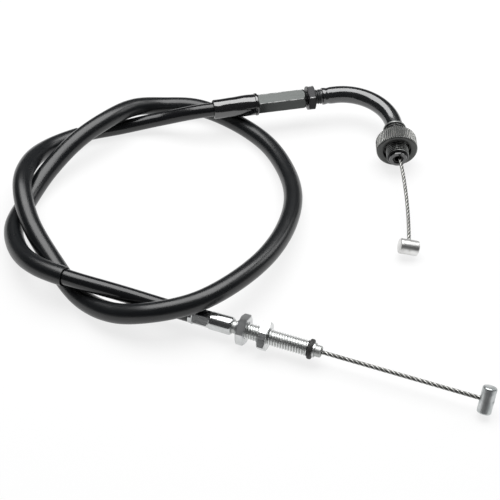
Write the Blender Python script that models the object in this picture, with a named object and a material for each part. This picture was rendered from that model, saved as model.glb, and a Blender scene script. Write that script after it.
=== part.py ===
"""Throttle cable: a jacketed steel conduit with a slip-on sleeve, an elbow with a
knurled lock ring at the grip end and a threaded adjuster at the carburettor end.
Metres, +Z up. The cable lies coiled on a flat surface at Z = 0."""
import bmesh
import bpy
import math
from mathutils import Matrix, Vector

# Casing layers, outermost first
SLEEVE_R = 0.00375
SLEEVE_WALL = 0.00044
JACKET_R = 0.0030
JACKET_WALL = 0.00050
WINDING_WALL = 0.00060
LINER_WALL = 0.00038
WIRE_R = 0.00075
LAYER_GAP = 0.00015
OUTER_SIDES = 12
INNER_SIDES = 8
WIRE_SIDES = 8

# Clearance between neighbouring pieces that touch on the real cable
FIT = 0.0003
THREAD_FIT = 0.00025

# Broken edges of turned fittings and rubber pieces
EDGE = 0.0003
SOFT_EDGE = 0.0005
LEAD_IN = 0.0001

# Grip end: lines the fittings lie on
BARREL_START = Vector((-0.0094, 0.0690, 0.0127))
ELBOW_CORNER = Vector((0.0676, 0.0846, 0.0124))
GRIP_NIPPLE = Vector((0.0674, -0.0062, 0.0045))
ELBOW_BEND_R = 0.0205
ELBOW_BEND_STEPS = 9
ELBOW_SIDES = 20

# Grip end: lengths along the barrel line, from the free end of the boot
CASING_IN_BOOT = 0.0150
BOOT_LENGTH = 0.0193
BOOT_R_FREE = 0.0041
BOOT_R_WIDE = 0.0046
BOOT_LIP_R = 0.0048
BOOT_LIP_LENGTH = 0.0012
CAP_LENGTH = 0.0090
CAP_END_WALL = 0.0010
CAP_WALL = 0.00050
CAP_NOSE_R = 0.0024
CAP_NOSE_LENGTH = 0.0032
BARREL_NECK_START = 0.0166
BARREL_NECK_R = 0.00385
BARREL_HEX_START = 0.0196
BARREL_END = 0.0402
BARREL_FLATS = 0.0080
BARREL_CHAMFER = 0.0009
LOCKNUT_START = 0.0411
LOCKNUT_FLATS = 0.0100
LOCKNUT_THICKNESS = 0.0032
SHANK_START = 0.0265
SHANK_END = 0.0470
SHANK_R = 0.0032
PIPE_START = 0.0478
UPPER_HEX_CORNER = math.radians(53.0)

# Grip end: elbow pipe, swivel bush, lock ring, distances back from the mouth
MOUTH_FROM_CORNER = 0.0435
PIPE_R = 0.0037
PIPE_BORE_R = 0.00215
PIPE_NECK_R = 0.0031
PIPE_LIP_R = 0.0037
PIPE_LIP_LENGTH = 0.0005
ELBOW_LINER_WALL = 0.00040
BUSH_LENGTH = 0.0180
BUSH_THREAD_R = 0.0046
BUSH_COLLAR_R = 0.0048
BUSH_COLLAR_LENGTH = 0.0021
BUSH_NOSE_CHAMFER = 0.0006
RING_FACE = 0.0042
RING_WIDTH = 0.0068
RING_R = 0.0085
RING_KNURLS = 60
RING_KNURL_DEPTH = 0.00030
RING_EDGE = 0.0006
RING_RECESS_R = 0.0057
RING_RECESS_DEPTH = 0.0026
RING_CUTTER_SIDES = 48

# Grip end: wire and nipple
GRIP_STROKE = 0.0200
WIRE_STAYS_IN = 0.0020
GRIP_NIPPLE_R = 0.0030
GRIP_NIPPLE_LENGTH = 0.0072
GRIP_NIPPLE_ROLL = math.radians(-14.0)
NIPPLE_EDGE = 0.00035
NIPPLE_HOLE_FIT = 0.00020
WIRE_PAST_NIPPLE = 0.85

# Carburettor end: line and lengths from the mouth of the adjuster
ADJUSTER_START = Vector((-0.0153, -0.0418, 0.0058))
CARB_NIPPLE = Vector((0.0861, -0.0804, 0.0058))
WINDING_IN_ADJUSTER = 0.0130
ADJUSTER_R = 0.00335
ADJUSTER_LIP_R = 0.0031
CRIMP_START = 0.0016
CRIMP_END = 0.0082
CRIMP_FLATS = 0.0058
SHOULDER_START = 0.0158
SHOULDER_END = 0.0168
SHOULDER_R = 0.00295
NECK_R = 0.00235
THREAD_START = 0.0184
THREAD_END = 0.0452
THREAD_R = 0.0030
SEAT_R = 0.00245
SEAT_END = 0.0470
END_FLANGE_R = 0.00265
END_FLANGE_LENGTH = 0.0007
TUBE_TIP_R = 0.0021
TUBE_END = 0.0500
SOCKET_END = 0.0134
TUBE_BORE_R = 0.00125
NUT_FLATS = 0.0100
NUT_THICKNESS = 0.0032
INNER_NUT_START = 0.0192
OUTER_NUT_START = 0.0273
NUT_CROWN_CLEAR = 0.2
NUT_CROWN_SLOPE = 0.8
WASHER_R = 0.00365
WASHER_EDGE = 0.0004
CARB_NIPPLE_R = 0.0025
CARB_NIPPLE_LENGTH = 0.0095
CARB_NIPPLE_LEAN = math.radians(58.0)
CRIMP_CORNER = math.radians(39.0)
INNER_NUT_CORNER = math.radians(69.0)
OUTER_NUT_CORNER = math.radians(39.0)
CORE_CLEARANCE = 0.0010

# Casing route between the two end fittings, points about 18 mm apart
ROUTE = [
    (-0.0316, 0.0702, 0.0068),
    (-0.0491, 0.0688, 0.0032),
    (-0.0651, 0.0631, 0.0036),
    (-0.0779, 0.0517, 0.0061),
    (-0.0835, 0.0369, 0.0105),
    (-0.0839, 0.0200, 0.0129),
    (-0.0785, 0.0019, 0.0101),
    (-0.0681, -0.0153, 0.0059),
    (-0.0567, -0.0313, 0.0041),
    (-0.0437, -0.0419, 0.0069),
    (-0.0286, -0.0458, 0.0112),
    (-0.0126, -0.0425, 0.0130),
    (0.0015, -0.0314, 0.0123),
    (0.0132, -0.0158, 0.0104),
    (0.0208, 0.0023, 0.0084),
    (0.0237, 0.0213, 0.0065),
    (0.0208, 0.0400, 0.0047),
    (0.0130, 0.0575, 0.0039),
    (-0.0006, 0.0719, 0.0039),
    (-0.0163, 0.0805, 0.0048),
    (-0.0314, 0.0802, 0.0061),
    (-0.0436, 0.0740, 0.0100),
    (-0.0537, 0.0634, 0.0121),
    (-0.0657, 0.0509, 0.0106),
    (-0.0763, 0.0365, 0.0065),
    (-0.0833, 0.0202, 0.0037),
    (-0.0858, 0.0043, 0.0053),
    (-0.0816, -0.0107, 0.0078),
    (-0.0729, -0.0223, 0.0110),
    (-0.0589, -0.0302, 0.0122),
    (-0.0401, -0.0358, 0.0103),
]
ROUTE_READINGS = 46
END_STRAIGHT = 0.0015
SLEEVE_START = 0.0590
SLEEVE_END = 0.5297

TURNED_SIDES = 24
SHARP_ANGLE = math.radians(32.0)


def clear_scene():
    for obj in list(bpy.data.objects):
        bpy.data.objects.remove(obj, do_unlink=True)


def make_material(name, colour, metallic, roughness):
    mat = bpy.data.materials.new(name)
    mat.use_nodes = True
    shader = mat.node_tree.nodes["Principled BSDF"]
    shader.inputs["Base Color"].default_value = (*colour, 1.0)
    shader.inputs["Metallic"].default_value = metallic
    shader.inputs["Roughness"].default_value = roughness
    return mat


def line_frame(origin, direction, corner_angle=0.0):
    """Frame with Z along the direction and X at an angle round from straight up."""
    z_axis = direction.normalized()
    up = Vector((0.0, 0.0, 1.0))
    x_axis = (up - up.dot(z_axis) * z_axis).normalized()
    y_axis = z_axis.cross(x_axis)
    frame = Matrix((x_axis, y_axis, z_axis)).transposed().to_4x4()
    frame.translation = origin
    return frame @ Matrix.Rotation(corner_angle, 4, "Z")


def finish(name, bm, mat, frame):
    """Turn a closed bmesh, drawn in the frame's own axes, into a named object."""
    bmesh.ops.remove_doubles(bm, verts=bm.verts, dist=0.000001)
    bmesh.ops.recalc_face_normals(bm, faces=bm.faces)
    mesh = bpy.data.meshes.new(name)
    bm.to_mesh(mesh)
    bm.free()
    mesh.materials.append(mat)
    mesh.shade_smooth()
    mesh.set_sharp_from_angle(angle=SHARP_ANGLE)
    obj = bpy.data.objects.new(name, mesh)
    obj.matrix_world = frame
    bpy.context.scene.collection.objects.link(obj)
    return obj


def turned(profile, sides=TURNED_SIDES):
    """Spin a closed profile of (radius, height) points about Z."""
    bm = bmesh.new()
    verts = [bm.verts.new((radius, 0.0, height)) for radius, height in profile]
    for first, second in zip(verts, verts[1:] + verts[:1]):
        if first.co.x > 0.0 or second.co.x > 0.0:
            bm.edges.new((first, second))
    bmesh.ops.spin(
        bm,
        geom=bm.verts[:] + bm.edges[:],
        axis=(0.0, 0.0, 1.0),
        cent=(0.0, 0.0, 0.0),
        angle=2.0 * math.pi,
        steps=sides,
        use_merge=True,
        use_normal_flip=False,
        use_duplicate=False,
    )
    return bm


def hide_cutter(obj):
    obj.hide_render = True
    obj.display_type = "WIRE"


def combine(obj, cutter, operation):
    """Cut, cross or join a piece with a helper solid by an exact Boolean."""
    hide_cutter(cutter)
    mod = obj.modifiers.new(operation.lower(), "BOOLEAN")
    mod.operation = operation
    mod.solver = "EXACT"
    mod.object = cutter


def hex_prism(flats, start, length):
    bm = bmesh.new()
    bmesh.ops.create_cone(
        bm,
        cap_ends=True,
        segments=6,
        radius1=flats / math.sqrt(3.0),
        radius2=flats / math.sqrt(3.0),
        depth=length,
        matrix=Matrix.Translation((0.0, 0.0, start + length / 2.0)),
    )
    bmesh.ops.rotate(bm, verts=bm.verts, matrix=Matrix.Rotation(math.radians(30.0), 3, "Z"))
    return bm


def disc_profile(radius, start, end, edge):
    """Profile of a solid disc with both rims broken by a chamfer."""
    return [
        (0.0, start),
        (radius - edge, start),
        (radius, start + edge),
        (radius, end - edge),
        (radius - edge, end),
        (0.0, end),
    ]


def hex_nut(name, flats, thickness, bore_r, mat, frame, corner_angle):
    """Nut with chamfered corners on both faces and a plain threaded bore."""
    corner = flats / math.sqrt(3.0)
    edge = corner - flats / 2.0
    nut_frame = frame @ Matrix.Rotation(corner_angle, 4, "Z")
    nut = finish(name, hex_prism(flats, 0.0, thickness), mat, nut_frame)
    clear = corner + edge * NUT_CROWN_CLEAR
    crown = [
        (0.0, 0.0),
        (flats / 2.0, 0.0),
        (clear, edge * NUT_CROWN_SLOPE),
        (clear, thickness - edge * NUT_CROWN_SLOPE),
        (flats / 2.0, thickness),
        (0.0, thickness),
    ]
    combine(nut, finish("cutter_crown_" + name, turned(crown), mat, frame), "INTERSECT")
    bore = disc_profile(bore_r, -thickness, 2.0 * thickness, 0.0)
    combine(nut, finish("cutter_bore_" + name, turned(bore), mat, frame), "DIFFERENCE")
    return nut


def smooth_line(points, readings, first_dir, last_dir):
    """Read a smooth curve through the points, leaving and arriving along two directions."""
    before_first = points[1] - first_dir * 2.0 * (points[1] - points[0]).length
    after_last = points[-2] + last_dir * 2.0 * (points[-1] - points[-2]).length
    padded = [before_first] + list(points) + [after_last]
    line = []
    for i in range(readings):
        place = i * (len(points) - 1) / (readings - 1)
        span = min(int(place), len(points) - 2)
        t = place - span
        before, here, there, after = padded[span:span + 4]
        bend = before * 2.0 - here * 5.0 + there * 4.0 - after
        twist = here * 3.0 - before - there * 3.0 + after
        slope = there - before
        line.append((here * 2.0 + slope * t + bend * t ** 2 + twist * t ** 3) * 0.5)
    return line


def part_of_line(points, first, last):
    """Piece of a polyline between two distances along it."""
    line = []
    run = 0.0
    for here, there in zip(points, points[1:]):
        length = (there - here).length
        if run < first <= run + length:
            line.append(here.lerp(there, (first - run) / length))
        if first < run + length < last:
            line.append(there.copy())
        if run < last <= run + length:
            line.append(here.lerp(there, (last - run) / length))
        run += length
    return line


def cord(name, points, radius, sides, mat, wall=None):
    """Round cord along a polyline, solid, or hollow where a wall is given."""
    curve = bpy.data.curves.new(name, "CURVE")
    curve.dimensions = "3D"
    curve.bevel_depth = radius
    curve.bevel_resolution = sides // 2 - 2
    curve.use_fill_caps = wall is None
    spline = curve.splines.new("POLY")
    spline.points.add(len(points) - 1)
    for slot, point in zip(spline.points, points):
        slot.co = (*point, 1.0)
        slot.radius = 1.0
    spline.use_smooth = True
    curve.materials.append(mat)
    obj = bpy.data.objects.new(name, curve)
    bpy.context.scene.collection.objects.link(obj)
    if wall is not None:
        shell = obj.modifiers.new("wall", "SOLIDIFY")
        shell.thickness = wall
        shell.offset = -1.0
        shell.use_even_offset = True
        shell.use_rim = True
    return obj


def bent_tube(name, stations, centre_line, sides, mat):
    """Closed hollow body whose profile (radius, distance) follows a bent line."""
    lengths = [0.0]
    for first, second in zip(centre_line, centre_line[1:]):
        lengths.append(lengths[-1] + (second - first).length)

    def place(distance):
        for i in range(len(lengths) - 1):
            if distance <= lengths[i + 1] or i == len(lengths) - 2:
                span = centre_line[i + 1] - centre_line[i]
                return centre_line[i] + span * ((distance - lengths[i]) / span.length)

    def heading(distance):
        return (place(distance + LEAD_IN) - place(distance - LEAD_IN)).normalized()

    side = (centre_line[-1] - centre_line[0]).cross(centre_line[1] - centre_line[0]).normalized()
    bm = bmesh.new()
    rings = []
    for radius, distance in stations:
        z_axis = heading(distance)
        frame = Matrix((side, z_axis.cross(side), z_axis)).transposed().to_4x4()
        frame.translation = place(distance)
        ring = bmesh.ops.create_circle(bm, segments=sides, radius=radius, matrix=frame)["verts"]
        rings.append(ring)
    for first, second in zip(rings, rings[1:] + rings[:1]):
        for k in range(sides):
            after = (k + 1) % sides
            bm.faces.new((first[k], first[after], second[after], second[k]))
    return finish(name, bm, mat, Matrix.Identity(4))


def set_origin(obj, frame):
    """Put the object's own origin and axes on a frame without moving its mesh."""
    obj.data.transform(frame.inverted())
    obj.matrix_world = frame


clear_scene()

sleeve_vinyl = make_material("sleeve_vinyl", (0.012, 0.012, 0.013), 0.0, 0.28)
jacket_vinyl = make_material("jacket_vinyl", (0.014, 0.014, 0.015), 0.0, 0.36)
winding_steel = make_material("winding_steel", (0.42, 0.42, 0.43), 1.0, 0.45)
liner_plastic = make_material("liner_plastic", (0.72, 0.72, 0.68), 0.0, 0.40)
wire_steel = make_material("wire_steel", (0.46, 0.45, 0.43), 1.0, 0.38)
boot_rubber = make_material("boot_rubber", (0.010, 0.010, 0.011), 0.0, 0.30)
cap_steel = make_material("cap_steel", (0.60, 0.60, 0.61), 1.0, 0.35)
barrel_black = make_material("barrel_black", (0.045, 0.047, 0.050), 0.6, 0.42)
nut_black = make_material("nut_black", (0.016, 0.016, 0.017), 0.6, 0.35)
pipe_black = make_material("pipe_black", (0.012, 0.013, 0.014), 0.5, 0.22)
elbow_plastic = make_material("elbow_plastic", (0.68, 0.68, 0.64), 0.0, 0.42)
bush_black = make_material("bush_black", (0.020, 0.020, 0.021), 0.6, 0.40)
ring_black = make_material("ring_black", (0.050, 0.050, 0.048), 0.6, 0.45)
adjuster_zinc = make_material("adjuster_zinc", (0.76, 0.77, 0.77), 1.0, 0.24)
nut_zinc = make_material("nut_zinc", (0.74, 0.75, 0.75), 1.0, 0.26)
washer_rubber = make_material("washer_rubber", (0.018, 0.017, 0.017), 0.0, 0.55)
nipple_zinc = make_material("nipple_zinc", (0.78, 0.78, 0.77), 1.0, 0.28)

# Lines of the two ends
barrel_dir = (ELBOW_CORNER - BARREL_START).normalized()
grip_dir = (GRIP_NIPPLE - ELBOW_CORNER).normalized()
carb_dir = (CARB_NIPPLE - ADJUSTER_START).normalized()
mouth = ELBOW_CORNER + grip_dir * MOUTH_FROM_CORNER
grip_frame = line_frame(mouth, grip_dir)
carb_frame = line_frame(ADJUSTER_START, carb_dir)
barrel_frame = line_frame(BARREL_START, barrel_dir)

# Casing layers along the route
route_points = [BARREL_START - barrel_dir * END_STRAIGHT]
route_points += [Vector(point) for point in ROUTE]
route_points += [ADJUSTER_START - carb_dir * END_STRAIGHT]
free_line = smooth_line(route_points, ROUTE_READINGS, -barrel_dir, carb_dir)
casing_end = BARREL_START + barrel_dir * CASING_IN_BOOT
casing_line = [casing_end] + free_line + [ADJUSTER_START - carb_dir * FIT]
winding_line = [casing_end] + free_line + [ADJUSTER_START + carb_dir * WINDING_IN_ADJUSTER]

inner_fit = math.cos(math.pi / INNER_SIDES)
liner_bore = (WIRE_R + LAYER_GAP) / inner_fit
liner_r = liner_bore + LINER_WALL
winding_bore = (liner_r + LAYER_GAP) / inner_fit
winding_r = winding_bore + WINDING_WALL
sleeve_line = part_of_line(free_line, SLEEVE_START, SLEEVE_END)
cord("outer_sleeve", sleeve_line, SLEEVE_R, OUTER_SIDES, sleeve_vinyl, SLEEVE_WALL)
cord("casing_jacket", casing_line, JACKET_R, OUTER_SIDES, jacket_vinyl, JACKET_WALL)
cord("casing_winding", winding_line, winding_r, INNER_SIDES, winding_steel, WINDING_WALL)
cord("casing_liner", winding_line, liner_r, INNER_SIDES, liner_plastic, LINER_WALL)

# Casing cap: cup pressed on the casing end, held inside the barrel
cap_bore = JACKET_R + LAYER_GAP
cap_r = cap_bore + CAP_WALL
cap_seat = CASING_IN_BOOT + LAYER_GAP
cap_end = cap_seat + CAP_END_WALL
cap_start = cap_end - CAP_LENGTH
nose_end = cap_end + CAP_NOSE_LENGTH
wire_way = WIRE_R + 2.0 * FIT
cap_profile = [
    (cap_bore, cap_start),
    (cap_r, cap_start),
    (cap_r, cap_end),
    (CAP_NOSE_R, cap_end),
    (CAP_NOSE_R, nose_end),
    (wire_way, nose_end),
    (wire_way, cap_seat),
    (cap_bore, cap_seat),
]
finish("casing_cap", turned(cap_profile), cap_steel, barrel_frame)

# Hex adjuster barrel: round neck over the cap's nose, threaded for the elbow shank
nose_bore = CAP_NOSE_R + FIT
shank_bore = SHANK_R + THREAD_FIT
barrel = finish(
    "adjuster_barrel",
    hex_prism(BARREL_FLATS, BARREL_HEX_START, BARREL_END - BARREL_HEX_START),
    barrel_black,
    barrel_frame @ Matrix.Rotation(UPPER_HEX_CORNER, 4, "Z"),
)
hex_corner = BARREL_FLATS / math.sqrt(3.0)
crown = [
    (0.0, BARREL_HEX_START),
    (hex_corner + EDGE, BARREL_HEX_START),
    (hex_corner + EDGE, BARREL_END - BARREL_CHAMFER - EDGE),
    (hex_corner - BARREL_CHAMFER, BARREL_END),
    (0.0, BARREL_END),
]
combine(barrel, finish("cutter_barrel_crown", turned(crown), barrel_black, barrel_frame), "INTERSECT")
neck = disc_profile(BARREL_NECK_R, BARREL_NECK_START, BARREL_HEX_START + BARREL_CHAMFER, 0.0)
combine(barrel, finish("cutter_barrel_neck", turned(neck), barrel_black, barrel_frame), "UNION")
barrel_way = [
    (0.0, BARREL_NECK_START - FIT),
    (nose_bore, BARREL_NECK_START - FIT),
    (nose_bore, nose_end + FIT),
    (wire_way + FIT, nose_end + FIT),
    (wire_way + FIT, SHANK_START - FIT),
    (shank_bore, SHANK_START - FIT),
    (shank_bore, BARREL_END + FIT),
    (0.0, BARREL_END + FIT),
]
combine(barrel, finish("cutter_barrel_way", turned(barrel_way), barrel_black, barrel_frame), "DIFFERENCE")

# Rubber boot over the casing cap and the barrel's neck
boot_free_bore = JACKET_R + FIT
boot_bore = BARREL_NECK_R + FIT
boot_profile = [
    (boot_free_bore, 0.0),
    (BOOT_R_FREE - SOFT_EDGE, 0.0),
    (BOOT_R_FREE, SOFT_EDGE),
    (BOOT_R_WIDE, BARREL_NECK_START),
    (BOOT_R_WIDE, BOOT_LENGTH - BOOT_LIP_LENGTH),
    (BOOT_LIP_R, BOOT_LENGTH - BOOT_LIP_LENGTH),
    (BOOT_LIP_R, BOOT_LENGTH),
    (boot_bore, BOOT_LENGTH),
    (boot_bore, BARREL_NECK_START - FIT),
    (cap_r + LAYER_GAP, BARREL_NECK_START - 2.0 * FIT),
    (cap_r + LAYER_GAP, cap_start - FIT),
    (boot_free_bore, cap_start - FIT),
]
finish("rubber_boot", turned(boot_profile), boot_rubber, barrel_frame)

# Locknut on the elbow shank
locknut_frame = line_frame(BARREL_START + barrel_dir * LOCKNUT_START, barrel_dir)
hex_nut(
    "barrel_locknut",
    LOCKNUT_FLATS,
    LOCKNUT_THICKNESS,
    shank_bore,
    nut_black,
    locknut_frame,
    UPPER_HEX_CORNER,
)

# Elbow: shank, bend and neck on one centre line
turn = barrel_dir.angle(grip_dir)
reach = ELBOW_BEND_R * math.tan(turn / 2.0)
bend_axis = barrel_dir.cross(grip_dir).normalized()
bend_in = ELBOW_CORNER - barrel_dir * reach
bend_centre = bend_in + bend_axis.cross(barrel_dir) * ELBOW_BEND_R
elbow_line = [BARREL_START + barrel_dir * SHANK_START]
for i in range(ELBOW_BEND_STEPS + 1):
    swing = Matrix.Rotation(turn * i / ELBOW_BEND_STEPS, 3, bend_axis)
    elbow_line.append(bend_centre + swing @ (bend_in - bend_centre))
elbow_line.append(mouth + grip_dir * PIPE_LIP_LENGTH)
bend_chord = (elbow_line[2] - elbow_line[1]).length
elbow_length = sum((b - a).length for a, b in zip(elbow_line, elbow_line[1:]))
straight_in = (bend_in - elbow_line[0]).length
bend_stations = [straight_in + bend_chord * i for i in range(ELBOW_BEND_STEPS + 1)]
neck_start = elbow_length - PIPE_LIP_LENGTH - BUSH_LENGTH - FIT
pipe_outside = [(SHANK_R - EDGE, 0.0), (SHANK_R, EDGE)]
pipe_outside += [(SHANK_R, SHANK_END - SHANK_START), (PIPE_R, PIPE_START - SHANK_START)]
pipe_outside += [(PIPE_R, station) for station in bend_stations if station < neck_start - EDGE]
pipe_outside += [
    (PIPE_R, neck_start - LEAD_IN),
    (PIPE_NECK_R, neck_start),
    (PIPE_NECK_R, elbow_length - PIPE_LIP_LENGTH),
    (PIPE_LIP_R, elbow_length - PIPE_LIP_LENGTH + LEAD_IN),
    (PIPE_LIP_R, elbow_length),
]
pipe_inside = [(PIPE_BORE_R, elbow_length)]
pipe_inside += [(PIPE_BORE_R, station) for station in reversed(bend_stations)]
pipe_inside += [(PIPE_BORE_R, 0.0)]
elbow = bent_tube("elbow_pipe", pipe_outside + pipe_inside, elbow_line, ELBOW_SIDES, pipe_black)
set_origin(elbow, line_frame(BARREL_START + barrel_dir * SHANK_START, barrel_dir))

# Plastic liner through the elbow
elbow_liner_r = PIPE_BORE_R * math.cos(math.pi / ELBOW_SIDES) - LAYER_GAP
elbow_liner_bore = elbow_liner_r - ELBOW_LINER_WALL
liner_outside = [(elbow_liner_r, station) for station in [FIT] + bend_stations]
liner_outside += [(elbow_liner_r, elbow_length - PIPE_LIP_LENGTH)]
liner_inside = [(elbow_liner_bore, station) for _, station in reversed(liner_outside)]
elbow_liner = bent_tube("elbow_liner", liner_outside + liner_inside, elbow_line, OUTER_SIDES, elbow_plastic)
set_origin(elbow_liner, elbow.matrix_world)

# Swivel bush, free to turn on the neck of the elbow
bush_bore = PIPE_NECK_R + THREAD_FIT
bush_profile = [
    (bush_bore, -BUSH_LENGTH),
    (BUSH_COLLAR_R - EDGE, -BUSH_LENGTH),
    (BUSH_COLLAR_R, EDGE - BUSH_LENGTH),
    (BUSH_COLLAR_R, BUSH_COLLAR_LENGTH - BUSH_LENGTH),
    (BUSH_THREAD_R, BUSH_COLLAR_LENGTH - BUSH_LENGTH + EDGE),
    (BUSH_THREAD_R, -FIT - BUSH_NOSE_CHAMFER),
    (BUSH_THREAD_R - BUSH_NOSE_CHAMFER, -FIT),
    (bush_bore, -FIT),
]
finish("swivel_bush", turned(bush_profile), bush_black, grip_frame)

# Knurled lock ring on the bush thread
ring_frame = line_frame(mouth - grip_dir * RING_FACE, grip_dir)
ring_bm = bmesh.new()
half_knurl = math.pi / RING_KNURLS
bmesh.ops.create_cone(
    ring_bm,
    cap_ends=True,
    segments=2 * RING_KNURLS,
    radius1=RING_R,
    radius2=RING_R,
    depth=RING_WIDTH,
    matrix=Matrix.Translation((0.0, 0.0, -RING_WIDTH / 2.0)),
)
for vert in ring_bm.verts:
    tooth = round(math.atan2(vert.co.y, vert.co.x) / half_knurl)
    if tooth % 2:
        vert.co.xy *= (RING_R - RING_KNURL_DEPTH) / RING_R
ring = finish("knurled_ring", ring_bm, ring_black, ring_frame)
ring_crown = disc_profile(RING_R + EDGE, -RING_WIDTH, 0.0, RING_EDGE + EDGE)
ring_cutter = turned(ring_crown, RING_CUTTER_SIDES)
combine(ring, finish("cutter_ring_crown", ring_cutter, ring_black, ring_frame), "INTERSECT")
ring_bore = BUSH_THREAD_R + THREAD_FIT
ring_way = [
    (0.0, -RING_WIDTH - FIT),
    (ring_bore, -RING_WIDTH - FIT),
    (ring_bore, -RING_RECESS_DEPTH),
    (RING_RECESS_R, -RING_RECESS_DEPTH),
    (RING_RECESS_R, FIT),
    (0.0, FIT),
]
combine(ring, finish("cutter_ring_way", turned(ring_way), ring_black, ring_frame), "DIFFERENCE")

# Grip wire and nipple
grip_nipple_at = (GRIP_NIPPLE - mouth).length
grip_wire_in = GRIP_STROKE + WIRE_STAYS_IN
nipple_hole_r = WIRE_R + NIPPLE_HOLE_FIT
grip_wire_out = grip_nipple_at + GRIP_NIPPLE_R * WIRE_PAST_NIPPLE
grip_wire_profile = disc_profile(WIRE_R, -grip_wire_in, grip_wire_out, 0.0)
finish("grip_wire", turned(grip_wire_profile, WIRE_SIDES), wire_steel, grip_frame)


def nipple(name, radius, length, frame, across):
    """Barrel nipple lying across the wire, drilled through for it."""
    body_frame = frame @ across @ Matrix.Translation((0.0, 0.0, -length / 2.0))
    body = finish(name, turned(disc_profile(radius, 0.0, length, NIPPLE_EDGE)), nipple_zinc, body_frame)
    hole = disc_profile(nipple_hole_r, -2.0 * radius, 2.0 * radius, 0.0)
    combine(body, finish("cutter_" + name, turned(hole, OUTER_SIDES), nipple_zinc, frame), "DIFFERENCE")
    return body


grip_nipple_frame = line_frame(GRIP_NIPPLE, grip_dir)
lie_across = Matrix.Rotation(GRIP_NIPPLE_ROLL, 4, "Z") @ Matrix.Rotation(math.radians(90.0), 4, "X")
nipple("grip_nipple", GRIP_NIPPLE_R, GRIP_NIPPLE_LENGTH, grip_nipple_frame, lie_across)

# Threaded adjuster, crimped on the bared winding
socket_bore = winding_r + FIT
adjuster_profile = [
    (socket_bore, 0.0),
    (ADJUSTER_LIP_R, 0.0),
    (ADJUSTER_LIP_R, CRIMP_START - LEAD_IN),
    (ADJUSTER_R, CRIMP_START),
    (ADJUSTER_R, CRIMP_END),
    (ADJUSTER_R, CRIMP_END + EDGE),
    (ADJUSTER_R, SHOULDER_START),
    (SHOULDER_R, SHOULDER_END - EDGE),
    (NECK_R, SHOULDER_END),
    (NECK_R, THREAD_START - EDGE),
    (THREAD_R, THREAD_START),
    (THREAD_R, THREAD_END - EDGE),
    (SEAT_R, THREAD_END),
    (SEAT_R, SEAT_END),
    (END_FLANGE_R, SEAT_END),
    (END_FLANGE_R, SEAT_END + END_FLANGE_LENGTH),
    (TUBE_TIP_R, SEAT_END + END_FLANGE_LENGTH),
    (TUBE_TIP_R, TUBE_END - EDGE),
    (TUBE_TIP_R - EDGE, TUBE_END),
    (TUBE_BORE_R, TUBE_END),
    (TUBE_BORE_R, SOCKET_END),
    (socket_bore, SOCKET_END),
]
adjuster_bm = turned(adjuster_profile)
crimp_middle = (CRIMP_START + CRIMP_END) / 2.0
for vert in adjuster_bm.verts:
    in_crimp = abs(vert.co.z - crimp_middle) < crimp_middle - CRIMP_START + LEAD_IN / 2.0
    if in_crimp and vert.co.xy.length > socket_bore + EDGE:
        angle = math.atan2(vert.co.y, vert.co.x) % math.radians(60.0) - math.radians(30.0)
        vert.co.xy *= CRIMP_FLATS / 2.0 / math.cos(angle) / vert.co.xy.length
adjuster_frame = carb_frame @ Matrix.Rotation(CRIMP_CORNER, 4, "Z")
finish("threaded_adjuster", adjuster_bm, adjuster_zinc, adjuster_frame)

# Bracket nuts on the adjuster thread
nut_bore = THREAD_R + THREAD_FIT
for nut_name, nut_start, corner_angle in (
    ("inner_bracket_nut", INNER_NUT_START, INNER_NUT_CORNER),
    ("outer_bracket_nut", OUTER_NUT_START, OUTER_NUT_CORNER),
):
    nut_frame = line_frame(ADJUSTER_START + carb_dir * nut_start, carb_dir)
    hex_nut(nut_name, NUT_FLATS, NUT_THICKNESS, nut_bore, nut_zinc, nut_frame, corner_angle)

# Rubber washer in the seat behind the end flange
washer_start = THREAD_END + LAYER_GAP
washer_end = SEAT_END - LAYER_GAP
washer_bore = SEAT_R + LAYER_GAP
washer_profile = [
    (washer_bore, washer_start),
    (WASHER_R - WASHER_EDGE, washer_start),
    (WASHER_R, washer_start + WASHER_EDGE),
    (WASHER_R, washer_end - WASHER_EDGE),
    (WASHER_R - WASHER_EDGE, washer_end),
    (washer_bore, washer_end),
]
finish("rubber_washer", turned(washer_profile), washer_rubber, carb_frame)

# Carburettor wire and nipple
carb_nipple_at = (CARB_NIPPLE - ADJUSTER_START).length
carb_wire_in = TUBE_END - WIRE_STAYS_IN
carb_wire_out = carb_nipple_at + CARB_NIPPLE_R * WIRE_PAST_NIPPLE
carb_wire_profile = disc_profile(WIRE_R, carb_wire_in, carb_wire_out, 0.0)
finish("carburettor_wire", turned(carb_wire_profile, WIRE_SIDES), wire_steel, carb_frame)
carb_nipple_frame = line_frame(CARB_NIPPLE, carb_dir)
lean_back = Matrix.Rotation(CARB_NIPPLE_LEAN - math.radians(90.0), 4, "Z")
lean_back @= Matrix.Rotation(math.radians(90.0), 4, "Y")
nipple("carburettor_nipple", CARB_NIPPLE_R, CARB_NIPPLE_LENGTH, carb_nipple_frame, lean_back)

# Inner wire: one length inside the casing, one that stays with the elbow
carb_core_end = carb_wire_in - GRIP_STROKE - CORE_CLEARANCE
core_line = [BARREL_START + barrel_dir * SHANK_START] + free_line
core_line += [ADJUSTER_START + carb_dir * carb_core_end]
cord("inner_wire", core_line, WIRE_R, WIRE_SIDES, wire_steel)
elbow_core = elbow_line[1:-1]
while (elbow_core[-1] - mouth).length < grip_wire_in + FIT:
    elbow_core.pop()
elbow_core.insert(0, BARREL_START + barrel_dir * (SHANK_START + CORE_CLEARANCE))
cord("elbow_wire", elbow_core, WIRE_R, WIRE_SIDES, wire_steel)
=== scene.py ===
"""Throttle cable: a sleeved casing lying in one and a half turns, with an elbow and
lock ring at the grip end and a threaded adjuster at the carburettor end."""
import math

import bmesh
import bpy
from mathutils import Matrix, Vector, noise


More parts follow.
